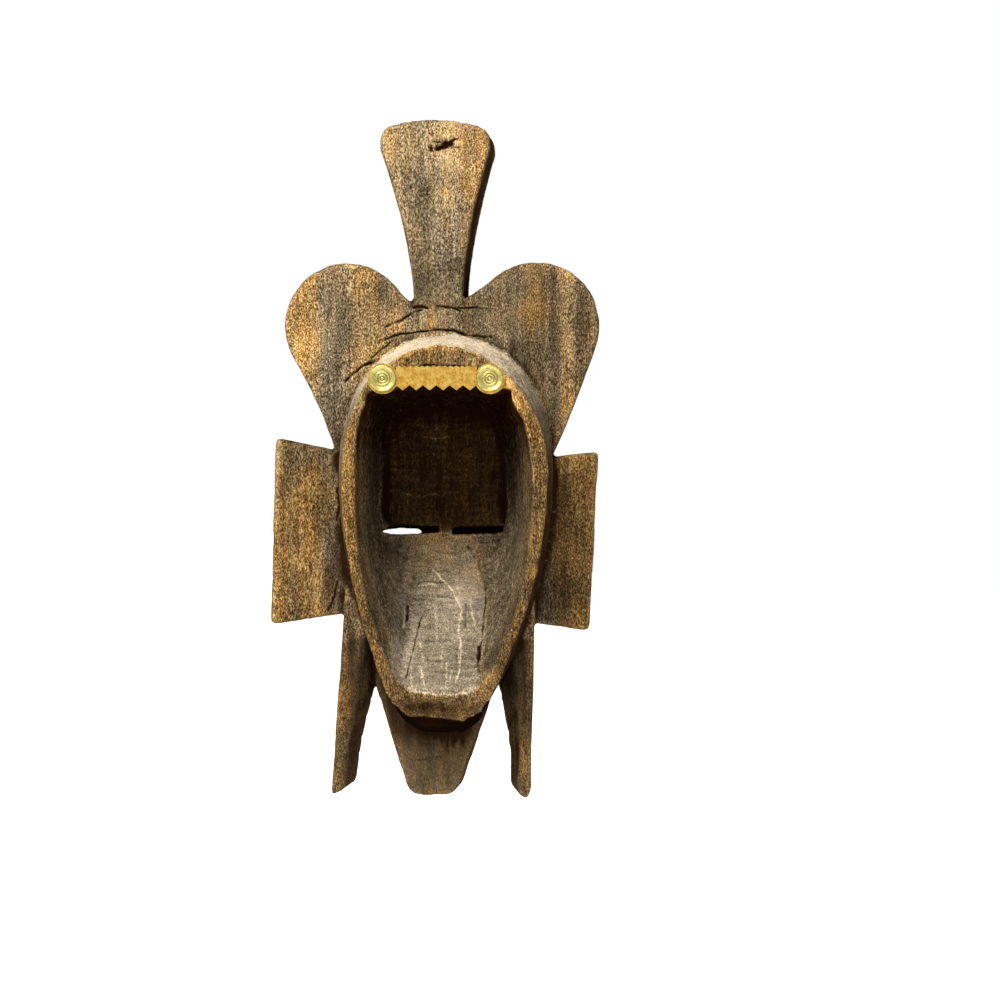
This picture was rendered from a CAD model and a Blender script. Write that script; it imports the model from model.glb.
import bmesh
import bpy
import math
import numpy as np
from mathutils import Matrix, Vector, noise


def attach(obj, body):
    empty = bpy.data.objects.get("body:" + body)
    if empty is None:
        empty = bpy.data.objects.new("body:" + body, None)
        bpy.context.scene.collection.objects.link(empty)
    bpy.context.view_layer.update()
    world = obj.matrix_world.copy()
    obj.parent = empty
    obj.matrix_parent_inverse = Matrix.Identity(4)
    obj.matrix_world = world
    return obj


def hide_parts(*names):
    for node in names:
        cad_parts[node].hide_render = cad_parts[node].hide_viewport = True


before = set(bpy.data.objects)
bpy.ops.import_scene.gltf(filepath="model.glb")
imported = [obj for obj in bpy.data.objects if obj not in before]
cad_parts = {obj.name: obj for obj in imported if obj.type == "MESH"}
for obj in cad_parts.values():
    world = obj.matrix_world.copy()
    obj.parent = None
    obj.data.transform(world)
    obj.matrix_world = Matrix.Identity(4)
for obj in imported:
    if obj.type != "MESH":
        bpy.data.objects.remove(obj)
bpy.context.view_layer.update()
mm = 0.001
print("frame loaded:", sorted(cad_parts))


# The camera stands behind the mask, level, and a little towards its -X side
view = {
    "place": (-22.46, 379, -43.4),         # mm
    "focalPixels": 1075, "picturePixels": 1000,
    "sensor": 36,                          # mm
    "nearest": 0.01,                       # m
}

# Lamps and floor, in metres
studio = {
    "floorHeight": -0.62,                  # far enough down to leave every side open
    "floorRadius": 7, "floorSides": 96, "floorGrey": 0.9, "floorGlow": 0.45,
    "keyPlace": (0.5, 0.85, 1.05), "keyWidth": 0.5, "keyPower": 34,
    "facePlace": (0.5, -1.45, 0.95), "faceWidth": 0.8, "facePower": 62,
    "lampsAim": (0, 0, -0.03),
    "airLight": 1.0,
}


def makeCamera():
    camera = bpy.data.cameras.new("photoCamera")
    camera.sensor_width = view["sensor"]
    camera.lens = view["sensor"] * view["focalPixels"] / view["picturePixels"]
    camera.clip_start = view["nearest"]
    holder = bpy.data.objects.new("photoCamera", camera)
    holder.location = Vector(view["place"]) * mm
    holder.rotation_euler = (math.radians(90), 0, math.radians(180))
    bpy.context.scene.collection.objects.link(holder)
    bpy.context.scene.camera = holder


def softLamp(name, place, width, power):
    lamp = bpy.data.lights.new(name, "AREA")
    lamp.size = width
    lamp.energy = power
    holder = bpy.data.objects.new(name, lamp)
    holder.location = place
    aim = Vector(studio["lampsAim"]) - Vector(place)
    holder.rotation_euler = aim.to_track_quat("-Z", "Y").to_euler()
    holder.visible_camera = False
    bpy.context.scene.collection.objects.link(holder)


def makeStudio():
    scene = bpy.context.scene
    scene.view_settings.view_transform = "Standard"
    world = bpy.data.worlds.new("studioAir")
    world.use_nodes = True
    air = world.node_tree.nodes["Background"]
    air.inputs["Color"].default_value = (1, 1, 1, 1)
    air.inputs["Strength"].default_value = studio["airLight"]
    scene.world = world
    softLamp("keyLamp", studio["keyPlace"], studio["keyWidth"], studio["keyPower"])
    softLamp("faceLamp", studio["facePlace"], studio["faceWidth"], studio["facePower"])

    bm = bmesh.new()
    bmesh.ops.create_circle(bm, cap_ends=True, segments=studio["floorSides"], radius=studio["floorRadius"])
    bmesh.ops.translate(bm, verts=bm.verts, vec=(0, 0, studio["floorHeight"]))
    floor = meshObject("paleFloor", bm)
    floor.data.materials.append(paleFloorPaint())


# Helpers for pieces
def meshObject(name, bm):
    mesh = bpy.data.meshes.new(name)
    bm.to_mesh(mesh)
    bm.free()
    piece = bpy.data.objects.new(name, mesh)
    bpy.context.scene.collection.objects.link(piece)
    return piece


def applyModifiers(piece):
    worked = bpy.data.meshes.new_from_object(piece.evaluated_get(bpy.context.evaluated_depsgraph_get()))
    piece.modifiers.clear()
    piece.data = worked


# Cuts the other shape away from the piece, or joins it on, and then removes the other object
def combine(piece, other, operation):
    joint = piece.modifiers.new("combine", "BOOLEAN")
    joint.operation = operation
    joint.solver = "EXACT"
    joint.object = other
    applyModifiers(piece)
    bpy.data.objects.remove(other)


def finishPiece(piece, material, node, smooth=True):
    piece.data.polygons.foreach_set("use_smooth", [smooth] * len(piece.data.polygons))
    piece.data.materials.clear()
    piece.data.materials.append(material)
    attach(piece, "root")
    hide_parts(node)


# Helpers for materials
def newMaterial(name):
    material = bpy.data.materials.new(name)
    material.use_nodes = True
    return material, material.node_tree, material.node_tree.nodes["Principled BSDF"]


def addNode(tree, kind, values=(), **settings):
    node = tree.nodes.new(kind)
    for setting, value in settings.items():
        setattr(node, setting, value)
    for socket, value in dict(values).items():
        node.inputs[socket].default_value = value
    return node


# Object coordinates, stretched and turned about the y axis
def objectSpace(tree, scale, turn=0):
    place = addNode(tree, "ShaderNodeTexCoord")
    mapping = addNode(tree, "ShaderNodeMapping", {"Scale": scale, "Rotation": (0, math.radians(turn), 0)})
    tree.links.new(place.outputs["Object"], mapping.inputs["Vector"])
    return mapping.outputs["Vector"]


def noiseOf(tree, space, scale, detail, roughness, distortion=0.0):
    values = {"Scale": scale, "Detail": detail, "Roughness": roughness, "Distortion": distortion}
    texture = addNode(tree, "ShaderNodeTexNoise", values)
    tree.links.new(space, texture.inputs["Vector"])
    return texture.outputs["Fac"]


# first + second * factor
def sumOf(tree, first, second, factor):
    total = addNode(tree, "ShaderNodeMath", {1: factor}, operation="MULTIPLY_ADD")
    tree.links.new(second, total.inputs[0])
    if isinstance(first, bpy.types.NodeSocket):
        tree.links.new(first, total.inputs[2])
    else:
        total.inputs[2].default_value = first
    return total.outputs[0]


# Sum of the named parts, each by its share
def mixOf(tree, parts, shares):
    total = 0.0
    for name, share in shares.items():
        total = sumOf(tree, total, parts[name], share)
    return total


def productOf(tree, first, second):
    product = addNode(tree, "ShaderNodeMath", operation="MULTIPLY")
    tree.links.new(first, product.inputs[0])
    tree.links.new(second, product.inputs[1])
    return product.outputs[0]


def spread(tree, source, low, high, newLow=0.0, newHigh=1.0):
    stretch = addNode(
        tree, "ShaderNodeMapRange",
        {"From Min": low, "From Max": high, "To Min": newLow, "To Max": newHigh},
    )
    tree.links.new(source, stretch.inputs["Value"])
    return stretch.outputs["Result"]


# Noise brought to about a half either side of nothing
def centred(tree, pattern):
    return spread(tree, pattern, 0.3, 0.7, -0.5, 0.5)


def blendOf(tree, share, first, second):
    mix = addNode(tree, "ShaderNodeMix", data_type="RGBA")
    tree.links.new(share, mix.inputs["Factor"])
    for socket, colour in ((mix.inputs[6], first), (mix.inputs[7], second)):
        if isinstance(colour, bpy.types.NodeSocket):
            tree.links.new(colour, socket)
        else:
            socket.default_value = (*colour, 1)
    return mix.outputs[2]


def attributeOf(tree, name):
    return addNode(tree, "ShaderNodeAttribute", attribute_name=name).outputs["Fac"]


def bumpOf(tree, height, strength, distance):
    bump = addNode(tree, "ShaderNodeBump", {"Strength": strength, "Distance": distance})
    tree.links.new(height, bump.inputs["Height"])
    return bump.outputs["Normal"]


def paleFloorPaint():
    material, tree, shader = newMaterial("paleFloorPaint")
    grey = studio["floorGrey"]
    shader.inputs["Base Color"].default_value = (grey, grey, grey, 1)
    shader.inputs["Roughness"].default_value = 0.9
    shader.inputs["Emission Color"].default_value = (1, 1, 1, 1)
    shader.inputs["Emission Strength"].default_value = studio["floorGlow"]
    return material


# Carved wood
wood = {
    "warm": (0.70, 0.37, 0.100), "grey": (0.53, 0.405, 0.245), "moss": (0.46, 0.39, 0.144),
    "ash": (0.50, 0.40, 0.27),             # where a tool has rubbed it
    "cream": (0.80, 0.64, 0.38),           # its palest fibres
    "pore": (0.014, 0.0068, 0.0024), "soot": (0.0100, 0.0030, 0.0009), "black": (0.0022, 0.0012, 0.0007),
    "grains": {                            # scale, stretch along the three axes, detail, turn
        "fine": (2500, (1, 1, 0.5), 1, 0), "speckle": (1250, (1, 1, 0.35), 2, 0),
        "streak": (900, (1, 1, 0.05), 4, 0), "stripe": (330, (1, 1, 0.06), 3, 0),
        "cloud": (95, (1, 1, 0.5), 5, 0), "tint": (210, (1, 1, 0.4), 3, 0),
        "scratch": (620, (0.16, 1, 1), 3, 12), "slant": (620, (1, 1, 0.1), 3, 24),
    },
    # Share of each in the light and dark, and in the bumps
    "shade": {"fine": 1.1, "speckle": 0.22, "streak": 0.3, "cloud": 0.4, "marks": 0.5},
    "relief": {"fine": 1.0, "streak": 1.2, "speckle": 0.8, "marks": 1.0},
    "contrast": 1.22, "calmShare": 0.3,    # calm wood keeps this share of the contrast
    "bumpStrength": 0.6, "bumpHeight": 0.14,    # mm
    "coatRoughness": 0.38, "coatIndex": 1.4,
}


def grainOf(tree, scale, stretch, detail, turn):
    return centred(tree, noiseOf(tree, objectSpace(tree, stretch, turn), scale, detail, 0.62, 0.2))


def carvedWood():
    material, tree, shader = newMaterial("carvedWood")
    grains = {name: grainOf(tree, *settings) for name, settings in wood["grains"].items()}
    speckle = grains["speckle"]
    polish, calm, soot = (attributeOf(tree, name) for name in ("polish", "calm", "soot"))

    # Tooled and sooty wood is scratched across its grain
    tooled = spread(tree, sumOf(tree, polish, soot, 0.8), 0.35, 0.7)
    grains["marks"] = productOf(tree, tooled, sumOf(tree, grains["scratch"], grains["slant"], 0.5))
    contrast = spread(tree, calm, 0, 1, wood["contrast"], wood["calmShare"] * wood["contrast"])
    shade = productOf(tree, mixOf(tree, grains, wood["shade"]), contrast)
    shade = sumOf(tree, 1.0, shade, 1.0)
    shade = productOf(tree, shade, shade)
    light = productOf(tree, shade, attributeOf(tree, "light"))

    warm = sumOf(tree, attributeOf(tree, "warm"), grains["stripe"], 0.6)
    warm = sumOf(tree, warm, grains["cloud"], 0.6)
    colour = blendOf(tree, warm, wood["grey"], wood["warm"])
    colour = blendOf(tree, spread(tree, grains["tint"], 0.05, 0.4, 0, 0.6), colour, wood["moss"])
    colour = blendOf(tree, spread(tree, polish, 0.45, 0.75), colour, wood["ash"])
    colour = blendOf(tree, spread(tree, shade, 1.2, 3.0, 0, 0.3), colour, wood["cream"])
    colour = blendOf(tree, spread(tree, light, 0, 2), wood["pore"], colour)

    # Soot of up to 1 browns the wood, and the rest of it turns the wood black
    dirt = sumOf(tree, soot, speckle, -0.35)
    dirt = sumOf(tree, dirt, grains["marks"], -0.2)
    colour = blendOf(tree, dirt, colour, wood["soot"])
    colour = blendOf(tree, spread(tree, dirt, 1, 1.8), colour, wood["black"])
    tree.links.new(colour, shader.inputs["Base Color"])

    smooth = sumOf(tree, polish, speckle, -0.25)
    tree.links.new(spread(tree, smooth, 0.15, 1, 1, 0.4), shader.inputs["Roughness"])
    relief = mixOf(tree, grains, wood["relief"])
    normal = bumpOf(tree, relief, wood["bumpStrength"], wood["bumpHeight"] * mm)
    tree.links.new(normal, shader.inputs["Normal"])
    shader.inputs["Specular IOR Level"].default_value = 0.0
    tree.links.new(attributeOf(tree, "satin"), shader.inputs["Coat Weight"])
    shader.inputs["Coat Roughness"].default_value = wood["coatRoughness"]
    shader.inputs["Coat IOR"].default_value = wood["coatIndex"]
    return material


# Mask, in millimetres: x is across, y grows towards the wall, z is up. Pairs are a place and a value there
mask = {
    "net": 0.74,                           # spacing of the net that the carving is worked on
    "faces": 190000,                       # what is left of the net when it is done
    "cutFiner": 2, "fineReach": 0.7,       # the net is cut finer this near to the thin lines
    "keptReach": 0.35, "keptWeight": 30,   # and thinned least this near to them

    # Outline of the hollow's mouth: half its width, how far it draws in below its shoulder, and the power
    # that makes its top round
    "mouth": {"half": 31.5, "draw": 14.5, "top": -2.2, "shoulder": -46, "end": -106, "round": 3.75},
    "mouthMiddle": ((-106, -1.6), (-46, -2.6), (-20, -1.9), (-9, -1), (-2, 0.4)),
    "mouthMargin": 0.8, "mouthTop": -1.4, "heelLine": -112,     # how much wider it is taken, and its two ends
    # The hollow's two upper corners are drawn out: place, then push outward and up
    "corners": ((-23, -5.8, 2.7, 1.3), (22.6, -6, 1.6, 1.2)),
    "cornerReach": 3.6,
    "eyeLine": -56,
    "rampEdges": (
        ((-113, -15.5), (-103, -15.2), (-92, -17), (-81, -17.4), (-75, -16), (-67, -13.6), (-57, -13.2)),
        ((-113, 15.3), (-103, 16.3), (-81, 18.4), (-67, 19.8), (-57, 20.4)),
    ),
    "heelWave": ((-17, 1.4), (-12, 0.2), (-9, 0.2), (-5, 1.2), (-1, 2.4), (4, 2.6), (9, 1.9), (13, 1.4)),
    "hangerSeat": (25, 7),                 # half size of the wood that stays flat for the hanger

    # Where the layers lie in y: between two places, or the one that bounds them
    "hollowDepth": (-49.6, -1.9), "lipDepth": (-8.5, -1.3), "floorDepth": -46.5,
    "rimDepth": -7, "bandDepth": -22.5, "platesDepth": -19,
    "bandTop": 20, "bandHalf": 42,

    # Eye slits: the one at +x goes through, and the other one ends in the wood
    "slits": ({"middle": (17.1, -54, -56.1), "radii": (7.9, 34, 1.3), "tilt": 4},),
    "slitMouths": (
        {"middle": (13.1, -49.6, -55.3), "radii": (11.2, 3.4, 1.4), "tilt": 1.5},
        {"middle": (-13.6, -49.6, -55.4), "radii": (10.2, 4.0, 1.42), "tilt": 3},
    ),
    "slitBevel": 0.9,

    # Carving: depth, size and seed of the swell and of the fibres
    "swell": (0.28, (26, 26, 26), 1), "fibres": (0.16, (2.7, 2.7, 22), 2),
    "fibresOnFront": 0.5,
    # Tool marks: size, seed and depth on each layer. The ramp is in the hollow too, so it takes both
    "cuts": (
        ((8, 9, 19), 3, {"plates": 0.24, "sides": 0.24, "front": 0.14, "rim": 0.16}),
        ((9, 14, 9), 5, {"band": 0.6}),
        ((7, 7, 2.2), 10, {"ramp": 0.1}),
        ((4, 7, 15), 4, {"hollow": 0.38, "ramp": -0.2}),
    ),
    "nicks": {"depth": 1.5, "size": (3.6, 3.6, 5), "seed": 6, "sharp": 0.12, "onFront": 0.6},
    "wander": 0.4,                         # how far a line strays from its path

    # Bands of grain, from -x to +x: place, warmth, lightness
    "grain": {
        "lobes": (
            (-60, 0.45, 0.22), (-57, 0.50, 0.29), (-54, 0.30, 0.19), (-51.5, 0.35, 0.22), (-49, 0.70, 0.42),
            (-46.5, 0.65, 0.38), (-44.5, 0.20, 0.19), (-42, 0.25, 0.22), (-39, 0.50, 0.27),
            (-34, 0.50, 0.26), (-29, 0.25, 0.24), (-20, 0.18, 0.24), (-6, 0.15, 0.28), (6, 0.15, 0.34),
            (12, 0.30, 0.36), (18, 0.60, 0.42), (25, 0.65, 0.48), (31, 0.60, 0.52), (35, 0.20, 0.46),
            (39, 0.10, 0.40), (43, 0.15, 0.42), (46, 0.65, 0.58), (50, 0.90, 0.70), (56, 0.85, 0.66),
            (59, 0.60, 0.64),
        ),
        "crest": (
            (-21, 0.40, 0.40), (-17, 0.50, 0.47), (-12, 0.45, 0.48), (-7, 0.35, 0.50), (-3, 0.25, 0.54),
            (2, 0.20, 0.50), (8, 0.15, 0.46), (13, 0.25, 0.46), (18, 0.40, 0.50), (22, 0.30, 0.46),
        ),
        "ears": (
            (-58, 0.90, 0.18), (-54, 0.90, 0.16), (-50, 0.95, 0.19), (-46, 0.80, 0.13), (-42, 0.45, 0.16),
            (-38, 0.15, 0.19), (34, 0.10, 0.18), (39, 0.20, 0.20), (43, 0.55, 0.25), (47, 0.95, 0.31),
            (51, 0.85, 0.28), (55, 0.70, 0.25), (58, 0.80, 0.27), (61, 1.00, 0.42), (64, 1.00, 0.38),
        ),
    },
    "sway": ((1.6, (9, 9, 34), 11), (0.7, (3, 3, 14), 12)),         # of the bands: reach, size and seed
    "cloud": ((11, 11, 30), 13),           # size and seed of the cloudy change in light and soot
    # Lowest and highest place of the bands, and their least distance from the middle
    "grainReach": {"lobes": (-30, 48, 0), "crest": (28, 101, 0), "ears": (-95, -18, 33)},
    "crestHalf": 23, "legsInner": 20, "chinHalf": 28,
    "crestLight": ((28, -0.22), (45, -0.16), (58, 0.0), (75, 0.05), (98, 0.03)), "crestCalm": 0.1,
    # Where a leg's pale outer strip begins, at +x and at -x
    "legSplit": (
        ((-149, 37), (-126, 34.2), (-100, 33.8)), ((-146, 20), (-139, 27.5), (-130, 31.3), (-100, 31.9)),
    ),
    "besideHeel": ((-134, 0), (-129, 0.8), (-106, 0.8), (-98, 0)),  # share of that coat, by height
    # Lower end of the ramp's pale wood, from -x to +x
    "rampEnd": ((-16, -107), (-13, -112), (-6, -113), (4, -112.5), (10, -111.5), (13, -108)),

    # Coats, laid one over another. A value is even, or pairs of a height and a value. Warm is orange against
    # grey, light is against dark, polish is rubbed and scratched by tools, calm has less grain, satin shines
    "coats": {
        "bare": {"warm": 0.5, "light": 0.36, "soot": 0.0, "polish": 0.2, "calm": 0.0, "satin": 0.0},
        "legs": {
            "warm": 0.2, "light": ((-150, 0.075), (-126, 0.05), (-100, 0.045)), "polish": 0.4, "calm": 0.6,
        },
        "legEdges": {
            "warm": 0.5, "light": ((-150, 0.13), (-126, 0.11), (-100, 0.09)), "polish": 0.2, "calm": 0.1,
        },
        "chin": {
            "warm": 0.25, "light": ((-150, 0.22), (-139, 0.17), (-134.5, 0.06), (-132, 0.01)),
            "soot": ((-134, 0), (-131, 0.6)), "polish": 0.35, "calm": 0.85,
        },
        "besideHeel": {"warm": 0.1, "light": 0.035, "soot": 0.2},
        "rim": {
            "warm": ((-121, 0.9), (-113, 0.6), (-100, 0.9)), "calm": 0,
            "light": (
                (-121, 0.11), (-112, 0.13), (-104, 0.14), (-90, 0.14), (-70, 0.17), (-58, 0.28),
                (-20, 0.37), (-8, 0.29), (5, 0.22),
            ),
        },
        "rimRight": {
            "light": (
                (-121, 0.1), (-100, 0.14), (-90, 0.13), (-79, 0.1), (-68, 0.115), (-61, 0.06),
                (-47, 0.1), (-33, 0.185), (-19, 0.25), (-8, 0.22),
            ),
        },
        "band": {
            "warm": 0.12, "calm": 0.6, "soot": ((-121, 0.9), (-70, 0.4), (-30, 0)),
            "light": ((-121, 0.0), (-112, 0.02), (-60, 0.07), (-20, 0.38), (-5, 0.85), (3, 1.1), (12, 1.7)),
            "polish": ((-60, 0.3), (-10, 0.8)),
        },
        "bandRight": {"light": ((-60, 0.02), (-30, 0.06), (-14, 0.26), (0, 0.8)), "soot": 0.15},
        "sides": {
            "warm": 0.15, "light": ((-95, 0.06), (-60, 0.04)), "calm": 0.5,
            "soot": ((-95, 0.1), (-60, 0.45)),
        },
        "walls": {
            "warm": 0.0, "light": 0.34, "polish": ((-75, 0.55), (-50, 0.3)), "calm": 0.2,
            "soot": ((-100, 0.1), (-66, 0.16), (-50, 0.38), (-32, 0.65), (-20, 0.85), (-12, 1.0)),
        },
        "lip": {
            "warm": ((-75, 0.15), (-45, 0.7)), "polish": 0.3,
            "light": ((-100, 0.2), (-60, 0.18), (-30, 0.15), (-20, 0.08)), "soot": ((-30, 0), (-15, 0.7)),
        },
        "floor": {
            "warm": 0.85, "light": 0.11, "polish": 0.25,
            "soot": ((-40, 0.57), (-24, 0.51), (-16, 0.57), (-11, 0.77)),
        },
        "ramp": {
            "warm": 0.3, "light": ((-112, 0.6), (-80, 0.62), (-68, 0.64), (-58, 0.56)), "soot": 0.0,
            "polish": ((-82, 0.75), (-70, 0.62), (-58, 0.5)), "calm": 0.6,
        },
        "front": {"warm": 0.4, "light": 0.12, "soot": 0.1, "polish": 0.35, "calm": 0.5, "satin": 0.4},
        "underside": {"light": 0.0, "soot": 1.72},
        "slits": {"soot": 1.6, "light": 0.0},
    },
    "cloudSoot": 0.2,                      # cloudy soot on the hollow's floor
    "cloudLight": 0.3,                     # cloudy light all over
    # Wear and dirt reach their full share where the net bends this sharply
    "wornEdges": {"sharp": 0.1, "warm": 0.35, "light": 0.22, "soot": -0.4},
    "dirtyFolds": {"sharp": 0.08, "light": -0.2, "soot": 0.3},

    # Soft patches: layer, place, half size, added warmth, lightness and soot. Pale ones are calmer as well
    "patchCalm": 1.8,
    "patches": (
        ("plates", (-1.6, 84.6), (2.8, 2.6), -0.1, 0.45, 0),        # pale scar under the crest's knot
        ("plates", (-2.8, 81.6), (2.8, 2.6), 0, 0.32, 0),
        ("plates", (-6.6, 89.8), (1.7, 1.2), -0.2, 0.5, 0),
        ("plates", (-10, 89), (6, 7), 0.3, 0.04, 0),
        ("plates", (-9, 77.2), (7, 1.6), 0.10, -0.26, 0),
        ("plates", (-9, 72), (4, 2.8), 0.35, 0.12, 0),
        ("plates", (-10, 76.4), (3, 1.6), 0.3, 0.1, 0),
        ("plates", (-3, 71), (4, 1.6), 0.25, 0.1, 0),
        ("plates", (6, 66), (7, 5), -0.10, -0.16, 0),
        ("plates", (4, 57), (8, 4), -0.15, -0.16, 0),
        ("plates", (2, 40), (12, 10), -0.25, -0.14, 0),
        ("plates", (2, 23), (3.5, 5), 0.35, 0.26, 0),
        ("plates", (-35, 26.5), (6.5, 7), 0.75, 0.04, 0),
        ("plates", (-34, 5), (7, 14), -0.2, -0.04, 0),
        ("plates", (-42.5, 16), (5, 12), -0.3, -0.03, 0),
        ("plates", (-49, -8), (4, 9), 0.3, 0.1, 0),
        ("plates", (-40, -6), (3.5, 6), 0.1, 0.05, 0),
        ("plates", (40, -8), (10, 12), -0.35, -0.10, 0),
        ("plates", (15.5, 18), (6, 2), -0.4, -0.2, 0.05),
        ("plates", (36, 20), (6, 8), -0.2, -0.12, 0),
        ("plates", (60.5, -27), (1.6, 8), -0.1, 0.3, 0),            # bare edge of the ear
        ("plates", (51, -27), (9, 6), -0.5, -0.1, 0),
        ("plates", (50, -48), (7, 13), 0.25, 0.04, 0),
        ("plates", (58, -38), (3, 7), -0.4, -0.1, 0),
        ("plates", (41.5, -28), (4.5, 6), -0.8, -0.05, 0.05),
        ("plates", (42, -60), (4, 7), -0.6, 0.02, 0),
        ("plates", (-20, 34), (11, 8), -0.45, -0.03, 0),
        ("plates", (-26, 14), (7, 10), -0.4, -0.02, 0),
        ("plates", (-44, -66), (5, 10), 0.3, 0.0, 0),
        ("plates", (-41, -82), (5, 8), -0.7, -0.02, 0),
        ("plates", (41, -72), (5, 14), -0.35, -0.14, 0),
        ("rim", (-34.4, -69.5), (1.6, 2.3), 0.7, 0.35, 0),
        ("rim", (-25.4, -2), (2.6, 3.4), 0.5, 0.45, 0),             # torn corner beside the hanger
        ("rim", (-28.6, -9), (1.3, 3.4), 0.5, 0.3, 0),
        ("rim", (-17.6, -105.4), (2.4, 2.4), 0.3, 0.6, 0),
        ("rim", (0, 5), (22, 6), -0.2, 0.05, 0),
        ("floor", (-24, -30), (5, 18), -0.3, 0, 0.14),
        ("walls", (-27, -28), (7, 16), -0.2, 0, 0.05),
        ("ramp", (2, -63), (9, 8), 0.4, 0.02, 0),
        ("ramp", (-17, -66), (4, 12), 0.2, -0.22, 0.1),
        ("ramp", (17, -66), (5, 9), -0.3, -0.06, 0),
        ("ramp", (15.5, -62), (5, 7), -0.3, -0.15, 0),
        ("ramp", (13, -100), (4, 9), -0.1, 0.12, 0),
        ("ramp", (-7, -79), (7, 12), 0.1, 0.1, 0),
        ("ramp", (20, -80), (4, 22), -0.1, -0.3, 0.2),
        ("ramp", (13.5, -90), (3, 7), 0, -0.3, 0.1),
        ("ramp", (9, -70), (5, 6), 0.2, -0.12, 0),
        ("ramp", (-12, -78), (4, 9), 0.3, 0.12, 0),
        ("ramp", (2, -106), (12, 6), -0.1, 0.14, 0),
        ("rim", (-13, -107), (2.5, 3), 0.2, 0.5, 0),
    ),

    # Cracks and scratches: layer, path, half width, depth, added warmth, lightness and soot
    "lines": (
        ("plates", ((9.6, 28.6), (6.2, 28.9), (4.6, 28.3)), 0.5, 1.2, 0, -0.7, 0.6),
        ("plates", ((0.9, 29.1), (-4.5, 28.6), (-7.8, 27.5)), 0.32, 1.0, 0, -0.7, 0.6),
        ("plates", ((-6.8, 28.6), (-9.8, 28.3), (-14.3, 28.7)), 0.26, 0.7, 0, -0.55, 0.4),
        ("plates", ((-14.3, 28.9), (-18.5, 28.9), (-21.6, 28.2)), 0.24, 0.2, 0, 0.5, 0),
        ("plates", ((6.8, 27.5), (11.6, 25.9), (14.9, 23.9), (20.6, 21.4)), 0.4, 0.7, 0, -0.4, 0.3),
        ("plates", ((20.6, 16.6), (14.9, 18.6), (8.4, 19.4), (0.3, 20.2), (-5.4, 20.0), (-9.4, 18.2),
                    (-19.2, 17.4)), 0.4, 0.8, 0, -0.4, 0.4),
        ("plates", ((35.6, 1.2), (28.7, 6.9), (23, 9.3)), 0.5, 1.2, 0, -0.6, 0.6),
        ("plates", ((25.8, 9.6), (22, 12.8), (17.5, 16.2)), 0.35, 0.5, 0, -0.3, 0.3),
        ("plates", ((-14.7, 24.3), (-18.3, 21.9), (-22.4, 19), (-25.6, 15.8)), 0.3, 0.3, -0.2, 0.5, 0),
        ("plates", ((38.5, -42.7), (37.7, -46), (38.9, -50.9)), 0.45, 0.8, 0, -0.4, 0.5),
        ("plates", ((38.7, -74.1), (39.6, -79.8), (41.9, -84.9)), 0.32, 0.5, 0, -0.25, 0.3),
        ("plates", ((45.6, -26.6), (46, -32.2)), 0.4, 0.15, 0, -0.06, 0),
        ("plates", ((52.9, -46.9), (53.6, -54), (53.2, -60.8)), 0.4, 0.2, 0, -0.12, 0),
        ("plates", ((49.3, -65.8), (48.6, -70), (50.1, -75.2)), 0.4, 0.2, 0, -0.12, 0),
        ("plates", ((37.4, -36.6), (38.9, -40.2), (37.1, -44), (38.3, -47)), 0.35, 0.6, 0, -0.3, 0.5),
        ("plates", ((-41.9, 42.6), (-42.4, 20), (-43.4, -6)), 0.8, 0.15, -0.3, -0.08, 0),
        ("plates", ((-44.6, 41), (-44.8, 24)), 0.4, 0, -0.2, 0.12, 0),
        ("plates", ((1.0, 88.2), (-1.8, 88.9)), 1.1, 1.4, 0, -0.9, 0.8),    # the crest's knot and its cracks
        ("plates", ((-2.0, 90.2), (-4.0, 89.8)), 1.0, 1.3, 0, -0.9, 0.8),
        ("plates", ((0.2, 90.6), (2.4, 90.4)), 0.35, 0.6, 0, -0.6, 0.4),
        ("plates", ((-4.1, 90.9), (-5.8, 91.6), (-7.6, 91.4)), 0.4, 0.8, 0, -0.7, 0.5),
        ("plates", ((3.4, 88.8), (3.2, 87.2)), 0.7, 0.6, 0, -0.6, 0.4),
        ("plates", ((-5.6, 88.6), (-7.4, 88.4)), 0.3, 0.4, 0.2, -0.5, 0.2),
        ("rim", ((5.8, 4), (1.6, 4.5), (-3.7, 4.1), (-9, 4)), 0.35, 0.8, 0, -0.6, 0.6),     # over the hanger
        ("rim", ((-25.6, -1.2), (-27.4, -7), (-28.9, -12.6)), 1.15, 0.7, 0.7, 0.8, 0),
        ("rim", ((28.6, -27.5), (27.9, -31), (27, -35)), 0.8, 0.5, 0.1, 0.6, 0),
        ("floor", ((14.6, -41.2), (9, -41.8), (2.6, -40.9)), 0.32, 0.1, 0, 0.25, -0.2),
        ("floor", ((14.2, -42.6), (14.6, -51)), 0.3, 0.1, 0, 0.2, -0.15),
        ("floor", ((-9.6, -20.4), (-10.4, -27), (-8.8, -33)), 0.3, 0.1, 0, 0.15, -0.15),
        ("floor", ((7.5, -18.4), (3.1, -19.2), (-1.8, -18.2)), 0.3, 0.1, 0, 0.2, -0.15),
        ("ramp", ((3.6, -70.7), (0.2, -74), (-3.5, -77.4), (-5.8, -81.4), (-7.9, -85.5), (-7.4, -88.2),
                  (-6.6, -91.5), (-7.8, -95.3), (-8.2, -99.6), (-7.9, -104.7), (-6.6, -108.4)),
         0.27, 0.12, -0.1, 1.9, -0.3),                              # the long pale scratch
        ("ramp", ((7.2, -87.5), (8.8, -95.8), (11.1, -106.7)), 0.22, 0.5, 0, -0.6, 0.4),
        ("ramp", ((12.8, -83.9), (12.1, -85.9), (12.6, -88.6)), 0.45, 1.0, 0, -0.7, 0.5),
        ("ramp", ((13.6, -84), (13.4, -91)), 0.34, 0.1, 0.2, 0.8, 0),
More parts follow.
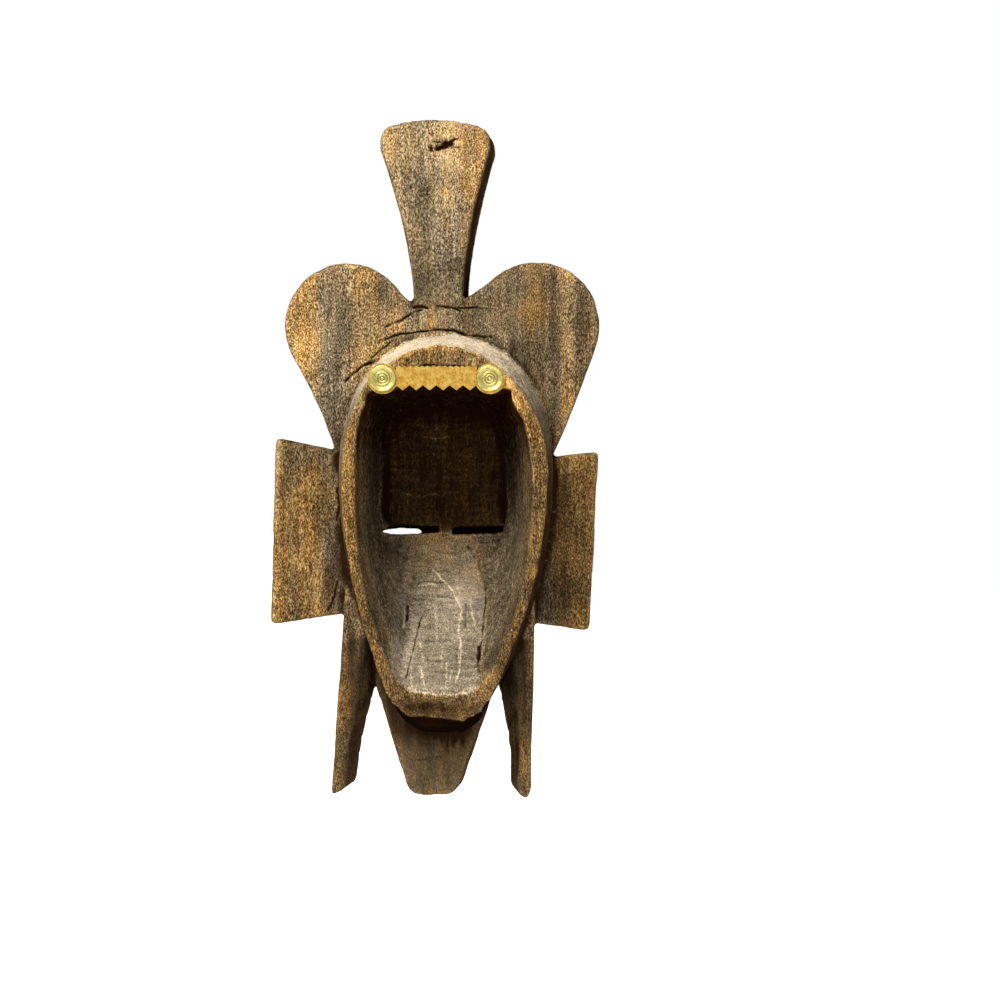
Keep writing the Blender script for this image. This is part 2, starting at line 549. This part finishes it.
        ("ramp", ((9.3, -75.6), (4.8, -74.8), (0.2, -75.2)), 0.35, 0.3, 0, -0.35, 0.1),
        ("ramp", ((9.1, -76.6), (4.6, -76), (2.2, -76.4)), 0.3, 0.1, 0, 0.7, 0),
        ("ramp", ((3.4, -80.4), (-2.1, -80.6), (-5.8, -81.2)), 0.35, 0.3, 0, -0.3, 0.1),
        ("ramp", ((5.2, -95.6), (-1.9, -95.6)), 0.35, 0.3, 0, -0.3, 0.05),
        ("ramp", ((4.2, -101.6), (-2.2, -101.9)), 0.35, 0.4, 0, -0.35, 0.1),
        ("ramp", ((0.8, -105.1), (-6.2, -105.7), (-14.1, -106.5)), 0.3, 0.3, 0, -0.3, 0.05),
        ("ramp", ((-9.4, -83), (-9.6, -91)), 0.3, 0.3, 0, -0.35, 0.1),
        ("ramp", ((7.2, -95.6), (5.4, -102)), 0.26, 0.1, 0, 1.1, -0.2),
        ("ramp", ((6.3, -103.6), (5.2, -107), (3.6, -112)), 0.28, 0.1, 0, 1.2, -0.2),
        ("ramp", ((-1.2, -98.8), (-1.6, -104.4)), 0.26, 0.1, 0, 1.1, -0.2),
        ("ramp", ((-3.2, -102.4), (-3.4, -107.6), (-3, -112)), 0.28, 0.1, 0, 1.2, -0.2),
        ("ramp", ((-5.2, -104.6), (-4.2, -109)), 0.26, 0.1, 0, 1.1, -0.2),
        ("ramp", ((-11, -81.7), (-12, -87), (-13.5, -91.3)), 0.3, 0.1, 0, 0.9, -0.1),
        ("ramp", ((2.2, -84.6), (1.4, -90), (0.6, -96)), 0.3, 0.1, 0, 0.7, -0.1),
        ("ramp", ((9.6, -106), (8.9, -111)), 0.3, 0.1, 0, 0.8, -0.1),
        ("ramp", ((-16.2, -72.6), (-17.3, -80.4), (-16.6, -86.5), (-16.0, -92.4), (-14.7, -101.1)),
         0.4, 0.5, 0, -0.5, 0.35),
        ("ramp", ((-16.9, -75), (-17.3, -77.6)), 0.7, 0.7, 0, -0.7, 0.5),
        ("ramp", ((-14.6, -97.6), (-14.8, -104.6)), 0.7, 0.7, 0, -0.7, 0.5),
        ("ramp", ((-9.9, -62.2), (-12.4, -65.8)), 0.7, 0.3, 0, -0.4, 0.35),
        ("ramp", ((-13.6, -63.4), (-14.2, -70.6)), 0.5, 0.3, 0, -0.4, 0.25),
        ("front", ((-9.6, -56.3), (-13, -56.8), (-17, -56.9), (-21.4, -56.2)), 0.6, 0.9, 0, -0.3, 0.9),
        ("plates", ((12.3, -142.6), (6, -142.2), (0.4, -141.2)), 0.5, 0.12, 0, -0.05, 0),
        ("plates", ((6.2, -149.8), (6.6, -153), (7, -157)), 0.4, 0.25, 0, -0.1, 0.2),
        ("rim", ((12.2, -109.6), (8.6, -110.6), (4.4, -111.6), (-0.7, -112.2), (-6.4, -112.5),
                 (-11.4, -111.4)), 0.4, 0.1, -0.3, 0.9, 0),
    ),
}


def copyOfNode(node, name):
    bm = bmesh.new()
    bm.from_mesh(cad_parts[node].data)
    bmesh.ops.remove_doubles(bm, verts=bm.verts, dist=1e-6)
    return meshObject(name, bm)


def makeNet(piece):
    net = piece.modifiers.new("net", "REMESH")
    net.mode = "VOXEL"
    net.voxel_size = mask["net"] * mm
    applyModifiers(piece)


def readNet(mesh):
    places = np.empty(len(mesh.vertices) * 3)
    mesh.vertices.foreach_get("co", places)
    facing = np.empty(len(mesh.vertices) * 3)
    mesh.vertex_normals.foreach_get("vector", facing)
    edges = np.empty(len(mesh.edges) * 2, dtype=int)
    mesh.edges.foreach_get("vertices", edges)
    return places.reshape(-1, 3) / mm, facing.reshape(-1, 3), edges.reshape(-1, 2)


def writeNet(mesh, at):
    mesh.vertices.foreach_set("co", (at * mm).ravel())
    mesh.update()


def setAttribute(mesh, name, values):
    attribute = mesh.attributes.new(name, "FLOAT", "POINT")
    attribute.data.foreach_set("value", values.astype(np.float32))


def neighbourMean(values, edges, rounds=1):
    ends = np.concatenate((edges[:, 0], edges[:, 1]))
    others = np.concatenate((edges[:, 1], edges[:, 0]))
    count = np.bincount(ends, minlength=len(values))
    flat = values.reshape(len(values), -1)
    for _ in range(rounds):
        columns = [np.bincount(ends, flat[others, i], minlength=len(flat)) for i in range(flat.shape[1])]
        flat = np.stack(columns, axis=1) / np.maximum(count, 1)[:, None]
    return flat.reshape(values.shape)


# Above nothing in the folds of the wood, and below nothing on its edges
def bendOf(at, facing, edges):
    return neighbourMean(((neighbourMean(at, edges) - at) * facing).sum(axis=1), edges)


def noiseField(at, size, seed):
    shifted = at / np.array(size) + seed * 17.3
    return np.array([noise.noise(Vector(point)) for point in shifted])


# Shallow scallops with low ridges between them, as an adze or a gouge leaves
def toolMarks(at, size, seed):
    shifted = at / np.array(size) + seed * 11.7
    near = np.array([noise.voronoi(Vector(point))[0][:2] for point in shifted])
    return np.minimum(near[:, 0] ** 2, 0.8) - 0.35


def along(line, pairs):
    return np.interp(line, *zip(*pairs))


def between(values, low, high):
    return (values > low) & (values < high)


def distanceTo(path, x, z):
    nearest = np.full(len(x), 1e9)
    for (x0, z0), (x1, z1) in zip(path, path[1:]):
        dx, dz = x1 - x0, z1 - z0
        share = np.clip(((x - x0) * dx + (z - z0) * dz) / (dx * dx + dz * dz), 0, 1)
        nearest = np.minimum(nearest, np.hypot(x - x0 - share * dx, z - z0 - share * dz))
    return nearest


def layersOf(at, facing):
    x, y, z = at.T
    mouth = mask["mouth"]
    above = np.clip((z - mouth["shoulder"]) / (mouth["top"] - mouth["shoulder"]), 0, 1)
    below = np.clip((mouth["shoulder"] - z) / (mouth["shoulder"] - mouth["end"]), 0, 1.06)
    reach = mouth["half"] * (1 - above ** mouth["round"]) ** (1 / mouth["round"])
    reach -= mouth["draw"] * below ** 2
    inMouth = np.abs(x - along(z, mask["mouthMiddle"])) < reach + mask["mouthMargin"]
    inMouth &= between(z, mask["heelLine"], mask["mouthTop"])
    for acrossAt, upAt, _, _ in mask["corners"]:
        inward = (facing[:, 0] * np.sign(acrossAt) < -0.15) | (facing[:, 2] < -0.3)
        inMouth |= inward & (np.hypot(x - acrossAt, z - upAt) < 1.4 * mask["cornerReach"]) & (z < -1)

    rear = facing[:, 1] > 0.5
    hollow = inMouth & between(y, *mask["hollowDepth"]) & (facing[:, 1] > -0.35)
    lip = inMouth & between(y, *mask["lipDepth"]) & (z < -4) & (facing[:, 1] < 0.75)
    floor = hollow & (z > mask["eyeLine"]) & ((facing[:, 1] > 0.62) | (y < mask["floorDepth"]))
    ramp = hollow & (z <= mask["eyeLine"])
    ramp &= between(x, *(along(z, edge) for edge in mask["rampEdges"]))
    rim = ~hollow & (y > mask["rimDepth"]) & rear
    plates = ~hollow & (y < mask["platesDepth"]) & rear
    band = ~hollow & ~rim & (y > mask["bandDepth"]) & (facing[:, 1] > -0.3)
    band &= (z < mask["bandTop"]) & (np.abs(x) < mask["bandHalf"])
    front = ~hollow & (facing[:, 1] < -0.3)
    return {
        "hollow": hollow, "walls": hollow & ~floor & ~ramp, "lip": lip, "floor": floor, "ramp": ramp,
        "rim": rim, "plates": plates, "band": band, "front": front,
        "sides": ~(hollow | rim | plates | band | front),
    }


def wanderOf(at):
    fine = [mask["wander"] * noiseField(at, (2.6, 2.6, 2.6), seed) for seed in (7, 8)]
    return fine + [noiseField(at, (3.4, 3.4, 3.4), 9)]


def lineShare(path, width, at, wander):
    away = distanceTo(path, at[:, 0] + wander[0], at[:, 2] + wander[1])
    return np.exp(-((away / width) ** 2)) * np.clip(0.8 + 1.1 * wander[2], 0.25, 1)


def nearLines(mesh, reach):
    at, facing, _ = readNet(mesh)
    layers = layersOf(at, facing)
    near = np.zeros(len(at), dtype=bool)
    for layer, path, width, *_ in mask["lines"]:
        near |= layers[layer] & (distanceTo(path, at[:, 0], at[:, 2]) < width + reach)
    return near


# The net gets finer where the thin lines run
def refineNet(mesh):
    near = nearLines(mesh, mask["fineReach"])
    bm = bmesh.new()
    bm.from_mesh(mesh)
    bm.verts.ensure_lookup_table()
    chosen = [edge for edge in bm.edges if near[edge.verts[0].index] and near[edge.verts[1].index]]
    bmesh.ops.subdivide_edges(bm, edges=chosen, cuts=mask["cutFiner"], use_grid_fill=True)
    bmesh.ops.triangulate(bm, faces=bm.faces)
    bm.to_mesh(mesh)
    bm.free()


# Takes faces out where the wood is even, and keeps them along the lines
def thinNet(piece):
    kept = nearLines(piece.data, mask["keptReach"])
    print("net before thinning:", len(piece.data.polygons), "kept points:", int(kept.sum()))
    group = piece.vertex_groups.new(name="lines")
    group.add([int(i) for i in np.flatnonzero(kept)], 1, "REPLACE")
    thin = piece.modifiers.new("thin", "DECIMATE")
    thin.ratio = mask["faces"] / len(piece.data.polygons)
    thin.vertex_group = "lines"
    thin.invert_vertex_group = True
    thin.vertex_group_factor = mask["keptWeight"]
    thin.use_collapse_triangulate = True
    applyModifiers(piece)
    piece.vertex_groups.clear()


def carveMask(mesh):
    at, facing, edges = readNet(mesh)
    layers = layersOf(at, facing)
    x, y, z = at.T
    swell, swellSize, swellSeed = mask["swell"]
    fibres, fibresSize, fibresSeed = mask["fibres"]
    lift = swell * noiseField(at, swellSize, swellSeed)
    onFront = np.where(layers["front"], mask["fibresOnFront"], 1)
    lift += fibres * noiseField(at, fibresSize, fibresSeed) * onFront
    for size, seed, depths in mask["cuts"]:
        scallops = toolMarks(at, size, seed)
        for layer, depth in depths.items():
            lift += depth * layers[layer] * scallops

    # Nicks along the outer edges
    nicks = mask["nicks"]
    edgeness = np.clip(-bendOf(at, facing, edges) / nicks["sharp"], 0, 1)
    bites = np.clip(noiseField(at, nicks["size"], nicks["seed"]) - 0.12, 0, 1)
    lift -= nicks["depth"] * edgeness * bites * np.where(layers["front"], nicks["onFront"], 1)

    wander = wanderOf(at)
    for layer, path, width, depth, *_ in mask["lines"]:
        lift -= depth * lineShare(path, width, at, wander) * layers[layer]

    seatHalf, seatUp = mask["hangerSeat"]
    seat = (np.abs(x) < seatHalf) & (np.abs(z) < seatUp) & layers["rim"]
    lift = np.where(seat, np.clip(lift * 0.4, -2, 0.1), lift)
    moved = at + facing * lift[:, None]
    for acrossAt, upAt, outward, upward in mask["corners"]:
        share = np.exp(-(((x - acrossAt) ** 2 + (z - upAt) ** 2) / mask["cornerReach"] ** 2)) * (y > -50)
        moved[:, 0] += share * outward * np.sign(acrossAt)
        moved[:, 2] += share * upward
    heel = np.clip((mask["heelLine"] - z) / 7, 0, 1) * np.clip((y + 14) / 8, 0, 1)
    moved[:, 2] += heel * along(x, mask["heelWave"])
    writeNet(mesh, moved)


def blend(coat, name, share, new):
    coat[name] += share * (new - coat[name])


def lay(coat, coatName, share, z):
    for name, new in mask["coats"][coatName].items():
        blend(coat, name, share, along(z, new) if isinstance(new, tuple) else new)


def add(coat, share, added):
    for name, more in zip(("warm", "light", "soot"), added):
        coat[name] += share * more


# Bands of grain on the plates. The lobes' bands stop at the crest's stem and at the ears
def paintGrain(coat, soft, at, warp):
    x, _, z = at.T
    plates = soft["plates"]
    inCrest = np.abs(x) < mask["crestHalf"]
    trims = {
        "lobes": ~((z > 28) & (np.abs(x) < 8 + 0.1 * z)) * ((z > -18) | (np.abs(x) < 44)),
        "crest": inCrest,
        "ears": True,
    }
    for name, (low, high, inner) in mask["grainReach"].items():
        places, bandWarm, bandLight = zip(*mask["grain"][name])
        share = plates * np.clip((z - low) / 2, 0, 1) * np.clip((high - z) / 2, 0, 1)
        share = share * (np.abs(x) > inner) * trims[name]
        blend(coat, "warm", share, np.interp(warp, places, bandWarm))
        blend(coat, "light", share, np.interp(warp, places, bandLight))
    crest = plates * (z > 28) * inCrest
    coat["calm"] += mask["crestCalm"] * crest
    coat["light"] += crest * along(z, mask["crestLight"])


def paintForms(coat, soft, at, warp, cloud):
    x, y, z = at.T
    across = np.abs(x)

    # Legs with a pale outer strip, the chin piece, and the wood beside the heel
    low = soft["plates"] * ((z < -95) & (y < -19))
    legs = low * (across > mask["legsInner"])
    split = np.where(x > 0, *(along(z, pairs) for pairs in mask["legSplit"]))
    lay(coat, "legs", legs, z)
    lay(coat, "legEdges", legs * np.clip((np.abs(warp) - split) / 1.4 + 0.5, 0, 1), z)
    lay(coat, "chin", low * (across <= mask["chinHalf"]) * (y < -28), z)
    beside = np.clip(soft["plates"] + soft["sides"], 0, 1) * (across < mask["chinHalf"]) * (y < -9)
    lay(coat, "besideHeel", beside * along(z, mask["besideHeel"]), z)

    lay(coat, "rim", soft["rim"], z)
    lay(coat, "rimRight", soft["rim"] * (x < -10) * (z < 2), z)
    lay(coat, "band", soft["band"], z)
    lay(coat, "bandRight", soft["band"] * (x < -20) * (z < 3), z)
    lay(coat, "sides", soft["sides"], z)
    lay(coat, "walls", np.clip(soft["walls"] + soft["floor"], 0, 1), z)
    lay(coat, "lip", soft["lip"] * (1 - soft["ramp"]), z)
    lay(coat, "floor", soft["floor"], z)
    coat["soot"] += mask["cloudSoot"] * cloud * soft["floor"]

    # The ramp's pale wood runs on over the rim as far as a wavy line
    overRim = np.clip((z - along(x, mask["rampEnd"]) + 0.6 * cloud) / 0.8, 0, 1) * (z < -100)
    lay(coat, "ramp", soft["ramp"] + soft["rim"] * overRim * between(x, -16, 13), z)
    lay(coat, "front", soft["front"], z)


def paintMarks(coat, soft, at, warp):
    z = at[:, 2]
    for layer, (acrossAt, upAt), (acrossHalf, upHalf), *added in mask["patches"]:
        share = soft[layer] * np.exp(-(((warp - acrossAt) / acrossHalf) ** 2 + ((z - upAt) / upHalf) ** 2))
        add(coat, share, added)
        coat["calm"] += mask["patchCalm"] * share * max(added[1], 0)
    wander = wanderOf(at)
    for layer, path, width, _, *added in mask["lines"]:
        add(coat, soft[layer] * lineShare(path, width, at, wander), added)


# Worn edges are lighter and warmer, and hollows between the forms keep their dirt
def paintWear(coat, soft, at, facing, edges, cloud):
    edge, fold = mask["wornEdges"], mask["dirtyFolds"]
    bend = bendOf(at, facing, edges)
    worn = np.clip(-bend / edge["sharp"], 0, 1) * (0.6 + 0.8 * np.abs(cloud))
    worn *= 1 - soft["hollow"] * (at[:, 2] > mask["eyeLine"])
    dirty = np.clip(bend / fold["sharp"], 0, 1)
    coat["warm"] += edge["warm"] * worn
    coat["light"] += (edge["light"] - 0.14 * soft["sides"] - 0.2 * soft["band"]) * worn
    coat["light"] += fold["light"] * dirty
    coat["soot"] += fold["soot"] * dirty + edge["soot"] * worn * (1 - soft["band"])
    coat["light"] *= 1 + mask["cloudLight"] * cloud


# The heel's lower facet is black, with soft borders, and so is the inside of the eye slits
def paintBlack(coat, at, facing, edges):
    x, y, z = at.T
    under = np.clip((y + 33) / 6, 0, 1) * np.clip((27 - np.abs(x)) / 6, 0, 1)
    under *= (z < -116) & (facing[:, 2] < -0.3)
    lay(coat, "underside", under * np.clip((0.72 - facing[:, 1]) / 0.2, 0, 1), z)
    for slit in mask["slitMouths"]:
        inside = (np.abs(x - slit["middle"][0]) < slit["radii"][0] + 0.1) & between(y, -56, -48.3)
        inside &= np.abs(z - slit["middle"][2]) < slit["radii"][2] + 0.2
        lay(coat, "slits", neighbourMean(inside.astype(float), edges), z)


def paintMask(mesh):
    at, facing, edges = readNet(mesh)
    layers = layersOf(at, facing)
    soft = {name: neighbourMean(layer.astype(float), edges, 2) for name, layer in layers.items()}
    warp = at[:, 0]
    for reach, size, seed in mask["sway"]:
        warp = warp + reach * noiseField(at, size, seed)
    cloud = noiseField(at, *mask["cloud"])
    coat = {name: np.full(len(at), value) for name, value in mask["coats"]["bare"].items()}
    paintGrain(coat, soft, at, warp)
    paintForms(coat, soft, at, warp, cloud)
    paintMarks(coat, soft, at, warp)
    paintWear(coat, soft, at, facing, edges, cloud)
    paintBlack(coat, at, facing, edges)
    for name, values in coat.items():
        setAttribute(mesh, name, np.clip(values, 0, 2))


def placeOf(slit, axis):
    size = Matrix.Diagonal((*(Vector(slit["radii"]) * mm), 1))
    turn = Matrix.Rotation(math.radians(slit["tilt"]), 4, axis)
    return Matrix.Translation(Vector(slit["middle"]) * mm) @ turn @ size


# The slots behind the eyes are cut again, as the net is too wide for them
def cutSlits(piece):
    bm = bmesh.new()
    for slit in mask["slitMouths"]:
        corners = bmesh.ops.create_cube(bm, size=2, matrix=placeOf(slit, "Y"))["verts"]
        bmesh.ops.bevel(
            bm, geom=list({edge for vert in corners for edge in vert.link_edges}),
            offset=mask["slitBevel"] * mm, affect="EDGES", segments=3, profile=0.5, material=-1,
        )
    combine(piece, meshObject("slitMouths", bm), "DIFFERENCE")

    bm = bmesh.new()
    for slit in mask["slits"]:
        bmesh.ops.create_uvsphere(bm, u_segments=40, v_segments=24, radius=1, matrix=placeOf(slit, "X"))
    combine(piece, meshObject("slits", bm), "DIFFERENCE")


def makeMask():
    piece = copyOfNode("mask", "carvedMask")
    makeNet(piece)
    refineNet(piece.data)
    carveMask(piece.data)
    cutSlits(piece)
    thinNet(piece)
    paintMask(piece.data)
    finishPiece(piece, carvedWood(), "mask")
    print("mask carved:", len(piece.data.polygons), "faces")


# Hanger: a brass strip with a nail through the round eye at each end, in millimetres
hanger = {
    "half": 14.2, "top": 3.4, "bottom": -2.9, "thickness": 0.7,
    "columns": 84,                         # six to a fine tooth and fourteen to a coarse one
    "fineTeeth": 14, "fineRise": 0.55, "coarseTeeth": 6, "coarseDrop": 1.8,
    "eyeAcross": 18.9, "eyeUp": -0.6, "eyeRadius": 5.4, "eyeBack": -0.2, "eyeSides": 64,
    "bevel": 0.22, "bevelAngle": 35,
    "brass": (0.62, 0.42, 0.10), "deepBrass": (0.40, 0.19, 0.02), "tarnish": (0.16, 0.10, 0.03),
    "cloudScale": 420, "wear": 0.25,
}

# Nail: its outline is the reach from its axis, the place in y, and how dirty it is there
nail = {
    "steps": 72,
    "outline": (
        (0, -10.7, 0), (0.8, -8.6, 0), (0.8, -0.3, 0), (0.9, -0.18, 0.4), (4.5, -0.18, 0.8),
        (4.7, 0.0, 0.7), (4.76, 0.35, 0.4), (4.72, 0.7, 0.1), (4.58, 0.95, 0), (4.36, 1.06, 0),
        (4.14, 1.0, 0), (3.9, 0.86, 0.1), (3.5, 0.7, 0.2), (3.1, 0.56, 0.35), (2.84, 0.5, 0.7),
        (2.66, 0.58, 0.6), (2.48, 0.8, 0.1), (2.26, 0.94, 0), (2.04, 0.88, 0.1), (1.88, 0.68, 0.6),
        (1.76, 0.6, 0.9), (1.62, 0.68, 0.5), (1.44, 0.92, 0.1), (1.22, 1.04, 0), (1.02, 0.96, 0.1),
        (0.86, 0.76, 0.7), (0.74, 0.72, 0.9), (0.6, 0.86, 0.4), (0.46, 1.1, 0), (0.28, 1.26, 0),
        (0, 1.32, 0),
    ),
    "shankEnd": -0.25,                     # the shank is clean up to here
    "brass": (0.54, 0.465, 0.17), "deepBrass": (0.36, 0.29, 0.07), "tarnish": (0.15, 0.13, 0.035),
    "cloudScale": 600, "wear": 0.3,
}


def agedBrass(name, piece):
    material, tree, shader = newMaterial(name)
    even = objectSpace(tree, (1, 1, 1))
    cloud = noiseOf(tree, even, piece["cloudScale"], 4, 0.65, 0.4)
    grain = noiseOf(tree, even, 1500, 3, 0.6)
    brushed = noiseOf(tree, objectSpace(tree, (0.3, 1, 1)), 1700, 3, 0.6)
    mottle = sumOf(tree, spread(tree, cloud, 0.36, 0.66), centred(tree, grain), 0.9)
    colour = blendOf(tree, mottle, piece["brass"], piece["deepBrass"])
    stain = sumOf(tree, attributeOf(tree, "groove"), centred(tree, grain), piece["wear"])
    stain = sumOf(tree, stain, spread(tree, cloud, 0.5, 0.8), 0.3)
    colour = blendOf(tree, stain, colour, piece["tarnish"])
    tree.links.new(colour, shader.inputs["Base Color"])
    shader.inputs["Metallic"].default_value = 1
    tree.links.new(spread(tree, stain, 0, 1, 0.34, 0.62), shader.inputs["Roughness"])
    relief = sumOf(tree, brushed, grain, 0.6)
    tree.links.new(bumpOf(tree, relief, 0.35, 0.05 * mm), shader.inputs["Normal"])
    return material


# A row of pointed teeth, between 0 and 1 in height
def toothWave(x, count):
    share = (x + hanger["half"]) / (2 * hanger["half"]) * count
    return 1 - abs(2 * (share - math.floor(share)) - 1)


# Middle of the strip's eye on one side, at a place in y
def eyeMiddle(side, y):
    return Vector((side * hanger["eyeAcross"], y, hanger["eyeUp"])) * mm


def makeHangerStrip():
    thickness = hanger["thickness"]
    bm = bmesh.new()
    bmesh.ops.create_grid(bm, x_segments=hanger["columns"], y_segments=1, size=1)
    for vert in bm.verts:
        x = vert.co.x * hanger["half"]
        top = hanger["top"] + hanger["fineRise"] * toothWave(x, hanger["fineTeeth"])
        bottom = hanger["bottom"] - hanger["coarseDrop"] * toothWave(x, hanger["coarseTeeth"])
        vert.co = Vector((x, -thickness, top if vert.co.y > 0 else bottom)) * mm
    raised = bmesh.ops.extrude_face_region(bm, geom=bm.faces)["geom"]
    raisedVerts = [part for part in raised if isinstance(part, bmesh.types.BMVert)]
    bmesh.ops.translate(bm, verts=raisedVerts, vec=(0, thickness * mm, 0))
    bmesh.ops.recalc_face_normals(bm, faces=bm.faces)
    strip = meshObject("hangerStrip", bm)

    bm = bmesh.new()
    depth = hanger["eyeBack"] + thickness
    for side in (-1, 1):
        place = Matrix.Translation(eyeMiddle(side, hanger["eyeBack"] - depth / 2))
        bmesh.ops.create_cone(
            bm, cap_ends=True, segments=hanger["eyeSides"], radius1=hanger["eyeRadius"] * mm,
            radius2=hanger["eyeRadius"] * mm, depth=depth * mm,
            matrix=place @ Matrix.Rotation(math.radians(90), 4, "X"),
        )
    combine(strip, meshObject("hangerEyes", bm), "UNION")
    edge = strip.modifiers.new("edge", "BEVEL")
    edge.width = hanger["bevel"] * mm
    edge.segments = 2
    edge.limit_method = "ANGLE"
    edge.angle_limit = math.radians(hanger["bevelAngle"])
    applyModifiers(strip)
    setAttribute(strip.data, "groove", np.zeros(len(strip.data.vertices)))
    finishPiece(strip, agedBrass("stripBrass", hanger), "hanger_strip", False)


def makeNail(name, side, node, material):
    bm = bmesh.new()
    middle = eyeMiddle(side, 0)
    points = [bm.verts.new(middle + Vector((reach, up, 0)) * mm) for reach, up, _ in nail["outline"]]
    edges = [bm.edges.new(pair) for pair in zip(points, points[1:])]
    bmesh.ops.spin(
        bm, geom=points + edges, cent=middle, axis=(0, 1, 0), dvec=(0, 0, 0),
        angle=math.tau, steps=nail["steps"], use_merge=True,
    )
    bmesh.ops.remove_doubles(bm, verts=bm.verts, dist=1e-6)
    bmesh.ops.recalc_face_normals(bm, faces=bm.faces)
    piece = meshObject(name, bm)

    # Dirt in the head's grooves, by the distance from the nail's axis
    at = readNet(piece.data)[0]
    away = np.hypot(at[:, 0] - middle.x / mm, at[:, 2] - middle.z / mm)
    head = [(reach, dirt) for reach, up, dirt in reversed(nail["outline"]) if up > -0.1]
    setAttribute(piece.data, "groove", along(away, head) * (at[:, 1] > nail["shankEnd"]))
    finishPiece(piece, material, node)


makeCamera()
makeStudio()
print("studio ready")
makeMask()
makeHangerStrip()
nailBrass = agedBrass("nailBrass", nail)
makeNail("hangerNailLeft", 1, "hanger_nail_left", nailBrass)
makeNail("hangerNailRight", -1, "hanger_nail_right", nailBrass)
print("hanger made")

print("sizes written")
